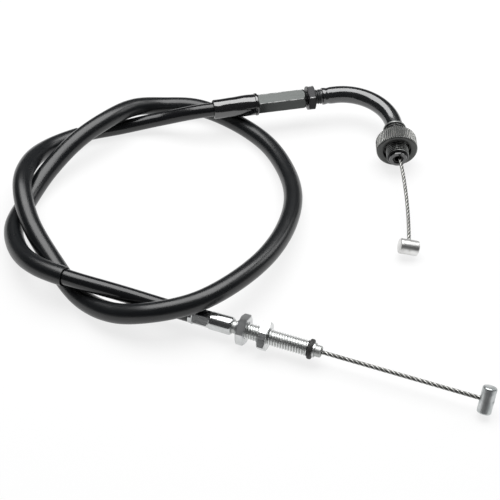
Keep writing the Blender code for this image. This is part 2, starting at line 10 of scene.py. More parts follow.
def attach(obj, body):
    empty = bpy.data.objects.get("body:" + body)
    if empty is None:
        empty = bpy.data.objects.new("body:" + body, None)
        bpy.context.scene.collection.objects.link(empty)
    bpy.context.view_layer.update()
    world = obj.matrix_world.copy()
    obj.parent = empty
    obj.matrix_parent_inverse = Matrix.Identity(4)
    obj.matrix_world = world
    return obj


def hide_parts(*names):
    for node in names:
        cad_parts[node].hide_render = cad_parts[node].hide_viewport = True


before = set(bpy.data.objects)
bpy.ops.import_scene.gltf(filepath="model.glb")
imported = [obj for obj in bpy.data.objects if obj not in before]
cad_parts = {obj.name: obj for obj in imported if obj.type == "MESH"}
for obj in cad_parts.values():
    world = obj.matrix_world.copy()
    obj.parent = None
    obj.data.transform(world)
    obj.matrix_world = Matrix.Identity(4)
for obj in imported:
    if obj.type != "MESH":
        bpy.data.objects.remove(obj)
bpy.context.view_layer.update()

# View: a small product on a table, seen from its front edge at forty-five degrees
# down through a long lens, so that the coil keeps its shape.
view_data = bpy.data.cameras.new("view")
view_data.lens = 79.2
view_data.sensor_width = 36.0
view_data.clip_start = 0.01
view = bpy.data.objects.new("view", view_data)
view.location = (0.0064, -0.3063, 0.3030)
view.rotation_euler = (math.radians(45.0), 0.0, 0.0)
bpy.context.scene.collection.objects.link(view)
bpy.context.scene.camera = view

# Casing jacket: black vinyl, extruded over the steel winding and cut square. It
# starts in the boot's cap and ends at the mouth of the crimped adjuster, and it
# shows bare next to both.
barrel_start = Vector((-0.0094, 0.0690, 0.0127))
elbow_corner = Vector((0.0676, 0.0846, 0.0124))
adjuster_start = Vector((-0.0153, -0.0418, 0.0058))
carb_nipple_middle = Vector((0.0861, -0.0804, 0.0058))
barrel_dir = (elbow_corner - barrel_start).normalized()
carb_dir = (carb_nipple_middle - adjuster_start).normalized()
jacket_r = 0.0030
jacket_bore = 0.0025
jacket_in_boot = 0.0150
jacket_straight = 0.0015
jacket_gap = 0.0003
casing_route = [
    (-0.0316, 0.0702, 0.0068), (-0.0491, 0.0688, 0.0032), (-0.0651, 0.0631, 0.0036),
    (-0.0779, 0.0517, 0.0061), (-0.0835, 0.0369, 0.0105), (-0.0839, 0.0200, 0.0129),
    (-0.0785, 0.0019, 0.0101), (-0.0681, -0.0153, 0.0059), (-0.0567, -0.0313, 0.0041),
    (-0.0437, -0.0419, 0.0069), (-0.0286, -0.0458, 0.0112), (-0.0126, -0.0425, 0.0130),
    (0.0015, -0.0314, 0.0123), (0.0132, -0.0158, 0.0104), (0.0208, 0.0023, 0.0084),
    (0.0237, 0.0213, 0.0065), (0.0208, 0.0400, 0.0047), (0.0130, 0.0575, 0.0039),
    (-0.0006, 0.0719, 0.0039), (-0.0163, 0.0805, 0.0048), (-0.0314, 0.0802, 0.0061),
    (-0.0436, 0.0740, 0.0100), (-0.0537, 0.0634, 0.0121), (-0.0657, 0.0509, 0.0106),
    (-0.0763, 0.0365, 0.0065), (-0.0833, 0.0202, 0.0037), (-0.0858, 0.0043, 0.0053),
    (-0.0816, -0.0107, 0.0078), (-0.0729, -0.0223, 0.0110), (-0.0589, -0.0302, 0.0122),
    (-0.0401, -0.0358, 0.0103),
]


def smooth_line(points, readings, first_dir, last_dir):
    """Read a smooth curve through the points, leaving and arriving along two directions."""
    before_first = points[1] - first_dir * 2.0 * (points[1] - points[0]).length
    after_last = points[-2] + last_dir * 2.0 * (points[-1] - points[-2]).length
    padded = [before_first] + list(points) + [after_last]
    line = []
    for i in range(readings):
        place = i * (len(points) - 1) / (readings - 1)
        span = min(int(place), len(points) - 2)
        t = place - span
        before, here, there, after = padded[span:span + 4]
        bend = before * 2.0 - here * 5.0 + there * 4.0 - after
        twist = here * 3.0 - before - there * 3.0 + after
        slope = there - before
        line.append((here * 2.0 + slope * t + bend * t ** 2 + twist * t ** 3) * 0.5)
    return line


class Line:
    """A bent centre line read by distance, with a frame carried along it untwisted."""

    def __init__(self, points):
        self.points = points
        self.runs = [0.0]
        for here, there in zip(points, points[1:]):
            self.runs.append(self.runs[-1] + (there - here).length)
        self.length = self.runs[-1]
        self.frames = []
        side = (points[1] - points[0]).orthogonal().normalized()
        last = len(points) - 1
        for i, point in enumerate(points):
            ahead = (points[min(i + 1, last)] - points[max(i - 1, 0)]).normalized()
            side = (side - ahead * side.dot(ahead)).normalized()
            turn = Matrix((side, ahead.cross(side), ahead)).transposed().to_4x4()
            turn.translation = point
            self.frames.append(turn)

    def at(self, distance):
        distance = min(max(distance, 0.0), self.length)
        i = max(k for k in range(len(self.runs) - 1) if self.runs[k] <= distance)
        share = (distance - self.runs[i]) / (self.runs[i + 1] - self.runs[i])
        return self.frames[i].lerp(self.frames[i + 1], share)


def sweep(bm, line, profile, sides, hollow=False):
    """Draw a ring along a line through (radius, distance) steps, capped or closed up."""
    along = bm.verts.layers.float.get("along") or bm.verts.layers.float.new("along")
    side_x = bm.verts.layers.float.get("side_x") or bm.verts.layers.float.new("side_x")
    side_y = bm.verts.layers.float.get("side_y") or bm.verts.layers.float.new("side_y")
    ring = bmesh.ops.create_circle(bm, segments=sides, radius=1.0)["verts"]
    for vert in ring:
        vert[side_x], vert[side_y] = vert.co.xy
    drawn = list(ring)
    edges = list({edge for vert in ring for edge in vert.link_edges})
    seated = Matrix.Identity(4)
    for step, (radius, distance) in enumerate(profile):
        if step:
            made = bmesh.ops.extrude_edge_only(bm, edges=edges)["geom"]
            ring = [item for item in made if isinstance(item, bmesh.types.BMVert)]
            fresh = set(ring)
            edges = [
                item for item in made
                if isinstance(item, bmesh.types.BMEdge) and fresh.issuperset(item.verts)
            ]
            drawn += ring
        seat = line.at(distance) @ Matrix.Diagonal((radius, radius, 1.0, 1.0))
        bmesh.ops.transform(bm, matrix=seat @ seated.inverted(), verts=ring)
        seated = seat
        for vert in ring:
            vert[along] = distance
        if not hollow and step in (0, len(profile) - 1):
            bmesh.ops.contextual_create(bm, geom=edges)
    if hollow:
        bmesh.ops.remove_doubles(bm, verts=drawn, dist=2e-6)
    bmesh.ops.recalc_face_normals(bm, faces=bm.faces)


class Value:
    """A number read over the surface; sums and products of it add Math nodes."""

    def __init__(self, finish, socket):
        self.finish = finish
        self.socket = socket

    def maths(self, operation, first, second=0.0):
        made = self.finish.node("ShaderNodeMath", {"operation": operation}, {0: first, 1: second})
        return Value(self.finish, made.outputs[0])

    def __add__(self, other):
        return self.maths("ADD", self, other)

    def __radd__(self, other):
        return self.maths("ADD", other, self)

    def __sub__(self, other):
        return self.maths("SUBTRACT", self, other)

    def __rsub__(self, other):
        return self.maths("SUBTRACT", other, self)

    def __mul__(self, other):
        return self.maths("MULTIPLY", self, other)

    def __rmul__(self, other):
        return self.maths("MULTIPLY", other, self)

    def __truediv__(self, other):
        return self.maths("DIVIDE", self, other)

    def __pow__(self, other):
        return self.maths("POWER", self, other)

    def __abs__(self):
        return self.maths("ABSOLUTE", self)


class Finish:
    """One material: its shader, and the nodes that vary it over the surface."""

    def __init__(self, name, seat=None, **fixed):
        self.material = bpy.data.materials.new(name)
        self.material.use_nodes = True
        self.tree = self.material.node_tree
        self.shader = self.tree.nodes["Principled BSDF"]
        self.feed(**fixed)
        self.place = Value(self, self.node("ShaderNodeTexCoord").outputs["Object"])
        if seat is not None:
            made = self.node(
                "ShaderNodeMapping",
                {"vector_type": "TEXTURE"},
                {"Vector": self.place, "Location": seat.translation, "Rotation": seat.to_euler()},
            )
            self.place = Value(self, made.outputs[0])
        apart = self.node("ShaderNodeSeparateXYZ", {}, {0: self.place})
        self.x, self.y, self.z = (Value(self, output) for output in apart.outputs)

    def node(self, kind, settings=None, sockets=None):
        made = self.tree.nodes.new(kind)
        for key, value in (settings or {}).items():
            setattr(made, key, value)
        for key, value in (sockets or {}).items():
            self.set(made.inputs[key], value)
        return made

    def set(self, socket, value):
        if isinstance(value, Value):
            self.tree.links.new(value.socket, socket)
        else:
            socket.default_value = value

    def feed(self, **sockets):
        for name, value in sockets.items():
            socket = name.replace("_", " ").title().replace("Ior", "IOR")
            self.set(self.shader.inputs[socket], value)

    def attribute(self, name):
        return Value(self, self.node("ShaderNodeAttribute", {"attribute_name": name}).outputs["Fac"])

    def vector(self, x, y, z):
        return Value(self, self.node("ShaderNodeCombineXYZ", {}, {0: x, 1: y, 2: z}).outputs[0])

    def speckle(self, scale, detail=2.0, at=None):
        made = self.node(
            "ShaderNodeTexNoise", {}, {"Vector": at or self.place, "Scale": scale, "Detail": detail}
        )
        return Value(self, made.outputs[0])

    def spread(self, value, low, high, to_low=0.0, to_high=1.0):
        made = self.node("ShaderNodeMapRange", {}, {0: value, 1: low, 2: high, 3: to_low, 4: to_high})
        return Value(self, made.outputs[0])

    def tint(self, mask, first, second):
        made = self.node(
            "ShaderNodeMix",
            {"data_type": "RGBA"},
            {0: mask, 6: first if isinstance(first, Value) else (*first, 1.0),
             7: second if isinstance(second, Value) else (*second, 1.0)},
        )
        return Value(self, made.outputs[2])

    def bump(self, height):
        made = self.node("ShaderNodeBump", {}, {"Height": height, "Distance": 1.0, "Strength": 1.0})
        self.feed(normal=Value(self, made.outputs[0]))


def drawn_vinyl(name, colour, dust, smooth):
    """Extruded vinyl: faint die lines along it, soft dents and a little dust."""
    vinyl = Finish(name, ior=1.5, specular_ior_level=0.6)
    along = vinyl.attribute("along")
    lines_at = vinyl.vector(
        vinyl.attribute("side_x") * 9.0, vinyl.attribute("side_y") * 9.0, along * 22.0
    )
    die_lines = vinyl.speckle(1.0, 3.0, lines_at)
    haze = vinyl.speckle(140.0, 3.0)
    specks = vinyl.spread(vinyl.speckle(1500.0, 2.0), 0.70, 0.76)
    vinyl.feed(
        base_color=vinyl.tint(specks * haze, colour, dust),
        roughness=smooth + haze * 0.10 + die_lines * 0.06 + specks * 0.15,
    )
    vinyl.bump(die_lines * 0.000022 + vinyl.speckle(220.0, 1.0) * 0.00003)
    return vinyl


def fit(name, bm, seat, finish, body, node, sharp=30.0):
    """Put a mesh in its place, shade it, hand it to its body and hide the node's part that it replaces.
    """
    bmesh.ops.transform(bm, matrix=seat, verts=bm.verts)
    mesh = bpy.data.meshes.new(name)
    bm.to_mesh(mesh)
    bm.free()
    mesh.materials.append(finish.material)
    mesh.shade_smooth()
    mesh.set_sharp_from_angle(angle=math.radians(sharp))
    piece = bpy.data.objects.new(name, mesh)
    bpy.context.scene.collection.objects.link(piece)
    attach(piece, body)
    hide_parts(node)
    return piece


route_points = [barrel_start - barrel_dir * jacket_straight]
route_points += [Vector(point) for point in casing_route]
route_points += [adjuster_start - carb_dir * jacket_straight]
free_points = smooth_line(route_points, 440, -barrel_dir, carb_dir)
jacket_points = [barrel_start + barrel_dir * jacket_in_boot, barrel_start + barrel_dir * 0.001]
jacket_points += free_points + [adjuster_start - carb_dir * jacket_gap]
jacket_line = Line(jacket_points)
jacket_steps = [(jacket_bore, 0.0), (jacket_r - 0.0001, 0.0), (jacket_r, 0.0001)]
jacket_steps += [(jacket_r, run) for run in jacket_line.runs[1:-1]]
jacket_steps += [(jacket_r, jacket_line.length - 0.0001), (jacket_r - 0.0001, jacket_line.length)]
jacket_steps += [(jacket_bore, jacket_line.length)]
jacket_steps += [(jacket_bore, run) for run in reversed(jacket_line.runs[:-1:4])]
jacket_bm = bmesh.new()
sweep(jacket_bm, jacket_line, jacket_steps, 28, hollow=True)
jacket_vinyl = drawn_vinyl("bare_vinyl", (0.0055, 0.0060, 0.0070), (0.04, 0.04, 0.04), 0.13)
jacket = fit(
    "jacket", jacket_bm, Matrix.Identity(4), jacket_vinyl, "cable", "casing_jacket"
)

# Slip-on sleeve: a second, looser vinyl tube pushed over most of the casing, cut
# square at both ends, with its wall showing there.
sleeve_r = 0.00375
sleeve_bore = 0.00331
sleeve_start = 0.0590
sleeve_end = 0.5297
free_line = Line(free_points)
sleeve_runs = [run for run in free_line.runs if sleeve_start < run < sleeve_end]
sleeve_steps = [(sleeve_bore, sleeve_start), (sleeve_r - 0.00008, sleeve_start)]
sleeve_steps += [(sleeve_r, sleeve_start + 0.00008)]
sleeve_steps += [(sleeve_r, run) for run in sleeve_runs]
sleeve_steps += [(sleeve_r, sleeve_end - 0.00008), (sleeve_r - 0.00008, sleeve_end)]
sleeve_steps += [(sleeve_bore, sleeve_end)]
sleeve_steps += [(sleeve_bore, run) for run in reversed(sleeve_runs[::4])]
sleeve_steps += [(sleeve_bore, sleeve_start)]
sleeve_bm = bmesh.new()
sweep(sleeve_bm, free_line, sleeve_steps, 32, hollow=True)
sleeve_vinyl = drawn_vinyl("sleeve_vinyl", (0.0060, 0.0070, 0.0080), (0.04, 0.04, 0.04), 0.21)
fit(
    "sleeve", sleeve_bm, Matrix.Identity(4), sleeve_vinyl,
    "cable", "outer_sleeve",
)

# Inside of the casing: a close-wound flat steel coil, a slippery plastic liner in it
# and the drawn wire in the liner. They show only in a cut.
coil_steel = Finish("coil_steel", metallic=1.0)
coil_turns = coil_steel.speckle(900.0, 2.0)
coil_steel.feed(
    base_color=coil_steel.tint(coil_turns, (0.30, 0.30, 0.31), (0.52, 0.52, 0.53)),
    roughness=0.35 + coil_turns * 0.25,
)
coil_steel.bump(coil_turns * 0.00004)
liner_plastic = Finish("liner_plastic", ior=1.5)
liner_haze = liner_plastic.speckle(500.0, 2.0)
liner_plastic.feed(
    base_color=liner_plastic.tint(liner_haze, (0.62, 0.62, 0.58), (0.76, 0.76, 0.72)),
    roughness=0.32 + liner_haze * 0.2,
)
elbow_plastic = Finish("elbow_plastic", ior=1.5)
elbow_plastic_haze = elbow_plastic.speckle(500.0, 2.0)
elbow_plastic.feed(
    base_color=elbow_plastic.tint(elbow_plastic_haze, (0.010, 0.010, 0.010), (0.022, 0.022, 0.022)),
    roughness=0.45 + elbow_plastic_haze * 0.2,
)
inside_steel = Finish("inside_steel", metallic=1.0)
inside_grain = inside_steel.speckle(1200.0, 3.0)
inside_steel.feed(
    base_color=inside_steel.tint(inside_grain, (0.34, 0.33, 0.31), (0.56, 0.55, 0.52)),
    roughness=0.30 + inside_grain * 0.2,
)
for node_name, finish in (
    ("casing_winding", coil_steel),
    ("casing_liner", liner_plastic),
    ("elbow_liner", elbow_plastic),
    ("inner_wire", inside_steel),
    ("elbow_wire", inside_steel),
    ("casing_cap", inside_steel),
):
    for material_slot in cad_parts[node_name].material_slots:
        material_slot.material = finish.material


# Boot: glossy moulded rubber, pushed over the casing's cap and the barrel's neck. It
# widens towards the barrel, ends in a thin lip, and is a little lumpy by hand fitting.
def line_frame(origin, direction, corner_angle=0.0):
    """Frame with Z along the direction and X at an angle round from straight up."""
    z_axis = direction.normalized()
    up = Vector((0.0, 0.0, 1.0))
    x_axis = (up - up.dot(z_axis) * z_axis).normalized()
    seat = Matrix((x_axis, z_axis.cross(x_axis), z_axis)).transposed().to_4x4()
    seat.translation = origin
    return seat @ Matrix.Rotation(corner_angle, 4, "Z")


def turned(profile, sides):
    """Spin a closed profile of (radius, height) points about Z."""
    bm = bmesh.new()
    verts = [bm.verts.new((radius, 0.0, height)) for radius, height in profile]
    for first, second in zip(verts, verts[1:] + verts[:1]):
        if first.co.x > 0.0 or second.co.x > 0.0:
            bm.edges.new((first, second))
    bmesh.ops.spin(
        bm,
        geom=bm.verts[:] + bm.edges[:],
        axis=(0.0, 0.0, 1.0),
        cent=(0.0, 0.0, 0.0),
        angle=2.0 * math.pi,
        steps=sides,
        use_merge=True,
        use_normal_flip=False,
        use_duplicate=False,
    )
    bmesh.ops.remove_doubles(bm, verts=bm.verts, dist=1e-7)
    bmesh.ops.recalc_face_normals(bm, faces=bm.faces)
    if bm.calc_volume(signed=True) < 0.0:
        bmesh.ops.reverse_faces(bm, faces=bm.faces)
    return bm


def soften(bm, width, segments=2, limit=40.0):
    """Round off every edge that is sharper than the limit."""
    sharp = [
        edge for edge in bm.edges
        if len(edge.link_faces) == 2 and edge.calc_face_angle() > math.radians(limit)
    ]
    bmesh.ops.bevel(
        bm,
        geom=sharp,
        offset=width,
        offset_type="OFFSET",
        segments=segments,
        profile=0.5,
        affect="EDGES",
        material=-1,
        clamp_overlap=True,
    )


def rows(radius, start, end, step):
    """Even rows of one radius between two heights."""
    count = max(1, round((end - start) / step))
    return [(radius, start + (end - start) * i / count) for i in range(count + 1)]


barrel_seat = line_frame(barrel_start, barrel_dir)
boot_flare = [
    (0.0041, 0.0005), (0.00412, 0.0030), (0.00418, 0.0060), (0.00432, 0.0088),
    (0.00446, 0.0112), (0.00456, 0.0135), (0.00460, 0.0158), (0.00452, 0.0172),
    (0.00450, 0.0181),
]
boot_profile = [(0.0033, 0.0), (0.0036, 0.0), (0.0039, 0.00014)]
for (r0, z0), (r1, z1) in zip(boot_flare, boot_flare[1:]):
    boot_profile += [(r0 + (r1 - r0) * k / 6.0, z0 + (z1 - z0) * k / 6.0) for k in range(6)]
boot_profile += [
    (0.00450, 0.0181), (0.0047, 0.01818), (0.0048, 0.0183), (0.00481, 0.0187),
    (0.0048, 0.0191), (0.0047, 0.01928), (0.00415, 0.0193), (0.00415, 0.0163),
    (0.0038, 0.0160), (0.0038, 0.0069), (0.0033, 0.0069),
]
boot_bm = turned(boot_profile, 72)
for vert in boot_bm.verts:
    if vert.co.xy.length > 0.0039:
        lump = noise.noise(vert.co * 210.0) * 0.00009 + noise.noise(vert.co * 520.0) * 0.00003
        vert.co.xy *= 1.0 + lump / vert.co.xy.length
boot_rubber = Finish("boot_rubber", seat=barrel_seat, ior=1.8, specular_ior_level=0.75)
boot_haze = boot_rubber.speckle(260.0, 3.0)
boot_specks = boot_rubber.spread(boot_rubber.speckle(1800.0), 0.70, 0.78)
boot_rubber.feed(
    base_color=boot_rubber.tint(boot_specks, (0.007, 0.007, 0.008), (0.05, 0.05, 0.05)),
    roughness=0.07 + boot_haze * 0.10 + boot_specks * 0.2,
)
boot_rubber.bump(boot_haze * 0.00003)
fit("boot", boot_bm, barrel_seat, boot_rubber, "cable", "rubber_boot")

# Adjuster barrel: drawn hexagon bar, bored, threaded for the elbow's shank and turned
# to a round neck under the boot. Satin black plate, its corners painted lighter: partly worn, partly a
# painted highlight.
hex_turn = math.radians(53.0)
barrel_hex_start = 0.0196
barrel_end = 0.0402
barrel_flats = 0.0080
barrel_chamfer = 0.0009
barrel_chamfer_length = 0.0012
barrel_bore = 0.00345
barrel_wire_bore = 0.00135


def press_hex(bm, flats, start, end, inner_r):
    """Bring a round stretch's skin down to six flats, with a corner on local X."""
    for vert in bm.verts:
        radius = vert.co.xy.length
        if start - 1e-6 < vert.co.z < end + 1e-6 and radius > inner_r:
            angle = math.atan2(vert.co.y, vert.co.x) % math.radians(60.0) - math.radians(30.0)
            flat = flats / 2.0 / math.cos(angle)
            if flat < radius:
                vert.co.xy *= flat / radius


def plated_hex(name, seat, colour, worn, smooth, metallic):
    """Plated hexagon: drawing lines along it, softened shine, and corners painted lighter, partly as
    bare worn plate and partly as a painted highlight.
    """
    plate = Finish(name, seat=seat, metallic=metallic, ior=1.5)
    flats_round = plate.x.maths("ARCTAN2", plate.y, plate.x) / math.radians(60.0) + 9.0
    from_flat = abs(flats_round.maths("FRACT", flats_round) - 0.5)
    corner = plate.spread(from_flat, 0.44, 0.49)
    grain = plate.speckle(1.0, 3.0, plate.vector(plate.x * 1500.0, plate.y * 1500.0, plate.z * 90.0))
    haze = plate.speckle(420.0, 3.0)
    # Corners painted lighter in patches: partly worn plate, partly a painted highlight along the hex
    # edges.
    corner_wear_and_highlight = corner * plate.spread(haze, 0.35, 0.6)
    plate.feed(
        base_color=plate.tint(corner_wear_and_highlight, plate.tint(haze, colour, [c * 1.35 for c in colour]), worn),
        roughness=smooth + grain * 0.12 + haze * 0.10,
    )
    plate.bump(grain * 0.000012 + haze * 0.000012)
    return plate


hex_seat = line_frame(barrel_start, barrel_dir, hex_turn)
hex_corner = barrel_flats / math.sqrt(3.0)
barrel_profile = [(0.0027, 0.0166), (0.00385, 0.0166), (0.00385, barrel_hex_start)]
barrel_profile += [(0.00440, barrel_hex_start + 0.00001)]
barrel_hex_end = barrel_end - barrel_chamfer_length
barrel_profile += rows(hex_corner, barrel_hex_start + 0.0002, barrel_hex_end, 0.0030)
barrel_profile += [
    (hex_corner - barrel_chamfer * k / 8.0, barrel_hex_end + barrel_chamfer_length * k / 8.0)
    for k in range(1, 9)
]
barrel_profile += [(0.00372, barrel_end), (barrel_bore, barrel_end - 0.00028)]
barrel_profile += [(barrel_bore, 0.0262), (barrel_wire_bore, 0.0262)]
barrel_profile += [(barrel_wire_bore, 0.0192), (0.0027, 0.0192)]
barrel_bm = turned(barrel_profile, 72)
press_hex(barrel_bm, barrel_flats, barrel_hex_start, barrel_end, 0.0039)
soften(barrel_bm, 0.00007, limit=35.0)
barrel_plate = plated_hex(
    "barrel_plate", hex_seat, (0.062, 0.066, 0.064), (0.26, 0.26, 0.26), 0.28, 0.8
)
fit(
    "barrel", barrel_bm, hex_seat, barrel_plate, "barrel", "adjuster_barrel", 25.0
)


# Locknut: thin hexagon nut, chamfered on both faces, black oxide, run up near the
# barrel on the elbow's thread.
nut_flats = 0.0100
nut_thickness = 0.0032


def hexagon_nut(flats, thickness, bore_r):
    """Nut with crowned corners on both faces and a countersunk bore."""
    corner = flats / math.sqrt(3.0)
    face = flats / 2.0 * 0.985
    crown = 0.00042
    sink = 0.0004
    slope = [(face + (corner - face) * k / 7.0, crown * k / 7.0) for k in range(8)]
    outside = slope + rows(corner, crown + 0.0002, thickness - crown - 0.0002, 0.0005)
    outside += [(radius, thickness - height) for radius, height in reversed(slope)]
    inside = [
        (bore_r + sink, thickness), (bore_r, thickness - sink), (bore_r, sink), (bore_r + sink, 0.0),
    ]
    bm = turned(outside + inside, 72)
    press_hex(bm, flats, 0.0, thickness, bore_r + 0.0006)
    soften(bm, 0.00006, limit=35.0)
    return bm


locknut_at = 0.0411
locknut_seat = line_frame(barrel_start + barrel_dir * locknut_at, barrel_dir, hex_turn)
locknut_plate = plated_hex(
    "locknut_plate", locknut_seat, (0.014, 0.014, 0.015), (0.40, 0.40, 0.40), 0.24, 0.6
)
fit(
    "locknut", hexagon_nut(nut_flats, nut_thickness, 0.00325), locknut_seat, locknut_plate,
    "locknut", "barrel_locknut", 25.0,
)

# Elbow: steel tube, bent through a little over a right angle, gloss black. The shank
# is threaded for the barrel, and a shallow ring is pressed in next to it.
grip_nipple_middle = Vector((0.0674, -0.0062, 0.0045))
grip_dir = (grip_nipple_middle - elbow_corner).normalized()
mouth = elbow_corner + grip_dir * 0.0435
bend_r = 0.0205
shank_start = 0.0265
shank_r = 0.0032
shank_root = 0.0028
thread_pitch = 0.0010
pipe_start = 0.0478
pipe_r = 0.0037
pipe_bore = 0.00215
neck_r = 0.0031
bush_length = 0.0180
lip_length = 0.0005


def cut_thread(bm, start, end, crest, root, pitch, run_out=0.0006):
    """Press a right-hand thread into the rows of a round stretch lying along Z."""
    for vert in bm.verts:
        radius = vert.co.xy.length
        if start < vert.co.z < end and abs(radius - crest) < 0.00002:
            turn = math.atan2(vert.co.y, vert.co.x) / (2.0 * math.pi)
            phase = (vert.co.z / pitch - turn) % 1.0
            groove = min(max((0.44 - abs(phase - 0.5)) / 0.32, 0.0), 1.0)
            fade = min(1.0, (vert.co.z - start) / run_out, (end - vert.co.z) / run_out)
            vert.co.xy *= (crest - (crest - root) * groove * fade) / crest


bend_angle = barrel_dir.angle(grip_dir)
bend_axis = barrel_dir.cross(grip_dir).normalized()
bend_in = elbow_corner - barrel_dir * bend_r * math.tan(bend_angle / 2.0)
bend_centre = bend_in + bend_axis.cross(barrel_dir) * bend_r
elbow_points = [barrel_start + barrel_dir * shank_start]
elbow_points += [
    bend_centre + Matrix.Rotation(bend_angle * i / 60.0, 3, bend_axis) @ (bend_in - bend_centre)
    for i in range(61)
]
elbow_points += [mouth + grip_dir * lip_length]
elbow_line = Line(elbow_points)
neck_start = elbow_line.length - lip_length - bush_length - 0.0003
bend_start = elbow_line.runs[1]
bend_end = elbow_line.runs[61]
shank_end = 0.0470 - shank_start
elbow_steps = [(shank_r - 0.0003, 0.0)]
elbow_steps += rows(shank_r, 0.0003, shank_end, 0.0001)
elbow_steps += [
    (shank_r - 0.0001, shank_end + 0.0001), (shank_r - 0.0001, pipe_start - shank_start - 0.0002),
    (pipe_r - 0.00025, pipe_start - shank_start), (pipe_r - 0.00005, pipe_start - shank_start + 0.0001),
]
elbow_steps += rows(pipe_r, pipe_start - shank_start + 0.0003, bend_start - 0.0002, 0.0003)
elbow_steps += [(pipe_r, run) for run in elbow_line.runs[1:62] if run < neck_start - 0.0004]
elbow_steps += rows(pipe_r, bend_end + 0.0001, neck_start - 0.0001, 0.0004)
elbow_steps += [(neck_r, neck_start), (neck_r, elbow_line.length - lip_length)]
elbow_steps += [
    (pipe_r - 0.0001, elbow_line.length - lip_length), (pipe_r, elbow_line.length - lip_length + 0.0001),
    (pipe_r - 0.0001, elbow_line.length - 0.00008), (pipe_r - 0.0004, elbow_line.length),
]
elbow_steps += [(pipe_bore + 0.0002, elbow_line.length), (pipe_bore, elbow_line.length - 0.0002)]
elbow_steps += [(pipe_bore, run) for run in reversed(elbow_line.runs[1:62:3])]
elbow_steps += [(pipe_bore, 0.0), (shank_r - 0.0003, 0.0)]
elbow_bm = bmesh.new()
sweep(elbow_bm, elbow_line, elbow_steps, 48, hollow=True)
shank_seat = elbow_line.frames[0]
bmesh.ops.transform(elbow_bm, matrix=shank_seat.inverted(), verts=elbow_bm.verts)
cut_thread(elbow_bm, 0.0004, shank_end, shank_r, shank_root, thread_pitch)
pressed_at = 0.0502 - shank_start
pressed_width = 0.0009
pressed_depth = 0.00026
for vert in elbow_bm.verts:
    if vert.co.z < 0.032 and vert.co.xy.length > pipe_r - 0.0004:
        dip = math.exp(-((vert.co.z - pressed_at) / pressed_width) ** 2)
        vert.co.xy *= 1.0 - dip * pressed_depth / pipe_r
bmesh.ops.transform(elbow_bm, matrix=shank_seat, verts=elbow_bm.verts)
elbow_black = Finish(
    "elbow_black", metallic=0.35, ior=1.6, specular_ior_level=0.9,
    coat_ior=1.6, coat_roughness=0.05,
)
on_thread = elbow_black.spread(elbow_black.attribute("along"), 0.0212, 0.0207)
elbow_peel = elbow_black.speckle(700.0, 2.0)
elbow_haze = elbow_black.speckle(160.0, 3.0)
elbow_black.feed(
    base_color=elbow_black.tint(elbow_haze, (0.010, 0.011, 0.012), (0.020, 0.022, 0.024)),
    roughness=0.12 + elbow_haze * 0.14 + on_thread * 0.30,
    coat_weight=(1.0 - on_thread) * (0.6 + elbow_haze * 0.3),
)
elbow_black.bump(elbow_peel * 0.000006 + elbow_haze * 0.00002)
fit("elbow", elbow_bm, Matrix.Identity(4), elbow_black, "elbow", "elbow_pipe")

# Swivel bush: turned and threaded steel, black phosphate. It is loose on the elbow's
# neck, held by the flared lip, and screws into the throttle's housing.
grip_seat = line_frame(mouth, grip_dir)
bush_r = 0.0046
bush_root = 0.00405
bush_bore = 0.00335
bush_profile = [(bush_bore, -bush_length), (0.0045, -bush_length)]
bush_profile += [(0.0048, -0.0177), (0.0048, -0.0171)]
bush_profile += [(0.0042, -0.0170), (0.0042, -0.0166)]
bush_profile += rows(bush_r, -0.0164, -0.0009, 0.0000833)
bush_profile += [(0.0040, -0.0003), (bush_bore + 0.0001, -0.0003), (bush_bore, -0.0004)]
bush_bm = turned(bush_profile, 72)
cut_thread(bush_bm, -0.0165, -0.0008, bush_r, bush_root, thread_pitch, 0.0004)


def phosphated(name, seat, colour, worn, smooth, low_r, high_r, crest):
    """Dark turned steel with tool rings, thinly worn patches, and outer crests painted much lighter:
    partly rubbed wear, partly a painted highlight.
    """
    steel = Finish(name, seat=seat, metallic=0.7, ior=1.5)
    out = (steel.x * steel.x + steel.y * steel.y) ** 0.5
    rings = steel.speckle(1.0, 3.0, steel.vector(out * 4200.0, steel.z * 4200.0, 0.0))
    haze = steel.speckle(330.0, 4.0)
    rubbed = steel.spread(haze, 0.55, 0.72)
    skin = steel.tint(rubbed, steel.tint(rings, colour, [c * 1.5 for c in colour]), worn)
    # The outermost radius is painted much lighter: partly rubbed wear, partly a painted highlight on the
    # knurl and thread crests.
    steel.feed(
        base_color=steel.tint(steel.spread(out, low_r, high_r), skin, crest),
        roughness=smooth + haze * 0.14 + rings * 0.08,
    )
    steel.bump(rings * 0.000010 + haze * 0.000015)
    return steel


bush_steel = phosphated(
    "bush_steel", grip_seat, (0.014, 0.014, 0.015), (0.04, 0.04, 0.04), 0.24,
    0.00438, 0.00459, (0.34, 0.35, 0.34),
)
fit("bush", bush_bm, grip_seat, bush_steel, "bush", "swivel_bush")

